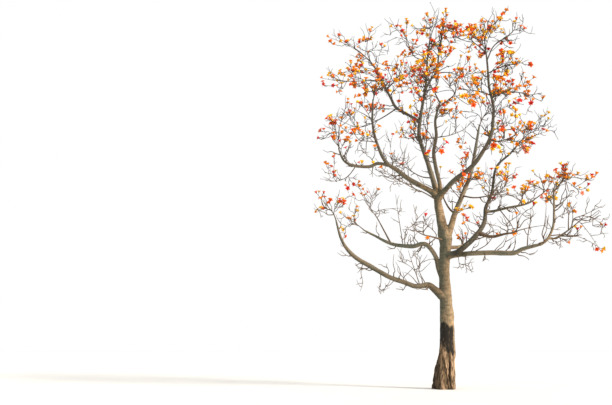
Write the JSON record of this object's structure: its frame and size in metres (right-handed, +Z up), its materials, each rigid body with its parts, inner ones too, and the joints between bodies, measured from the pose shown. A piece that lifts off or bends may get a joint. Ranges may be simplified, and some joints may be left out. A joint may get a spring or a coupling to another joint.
{
  "type": "silk cotton tree",
  "caption": "Leafless silk cotton tree in orange-red blossom: flared trunk forking into rising stems and long level low boughs, with open sprays of twigs and flowers.",
  "frame": {"origin": "middle of the flat cut under the trunk, at ground level", "axes": "+Z up the trunk; +X to the right and +Y away from the viewer, as the tree is pictured"},
  "size_m": [10.8909, 8.7979, 16.0348],
  "materials": {
    "trunk_bark": "rough",
    "bough_bark": "rough",
    "blossom": "soft"
  },
  "bodies": {
    "root": {"trunk": "trunk_bark", "main_stem": "bough_bark", "right_stem": "bough_bark", "middle_stem": "bough_bark", "right_leader": "bough_bark", "left_bough": "bough_bark", "left_arm": "bough_bark", "upper_left_bough": "bough_bark", "low_left_bough": "bough_bark", "second_left_bough": "bough_bark", "upper_right_bough": "bough_bark", "upper_right_riser": "bough_bark", "low_right_bough": "bough_bark", "low_right_riser": "bough_bark", "low_right_arm": "bough_bark", "dark_right_bough": "bough_bark", "dark_right_arm": "bough_bark", "back_bough": "bough_bark", "back_right_bough": "bough_bark", "top_left_spray": "blossom", "top_left_wing": "blossom", "top_right_spray": "blossom", "top_right_wing": "blossom", "inner_top_spray": "blossom", "upper_left_tip": "blossom", "upper_left_top": "blossom", "far_left_spray": "blossom", "upper_left_inner": "blossom", "upper_left_arm": "blossom", "left_arm_spray": "blossom", "left_low_spray": "blossom", "left_riser_spray": "blossom", "left_riser_side": "blossom", "front_left_spray": "blossom", "back_left_spray": "blossom", "low_left_tip": "blossom", "low_left_tuft": "blossom", "second_left_tip": "blossom", "second_left_riser": "blossom", "short_left_spray": "blossom", "middle_left_spray": "blossom", "middle_right_spray": "blossom", "right_stem_spray": "blossom", "pale_branch_spray": "blossom", "inner_right_spray": "blossom", "upper_right_spray": "blossom", "upper_right_top": "blossom", "upper_right_wing": "blossom", "upper_right_side": "blossom", "right_arm_spray": "blossom", "upper_right_inner": "blossom", "front_right_spray": "blossom", "low_right_tip": "blossom", "low_right_arm_spray": "blossom", "dark_right_tip": "blossom", "dark_right_arm_spray": "blossom", "knee_spray": "blossom", "back_left_top": "blossom", "back_top_spray": "blossom", "back_right_spray": "blossom"}
  },
  "joints": []
}
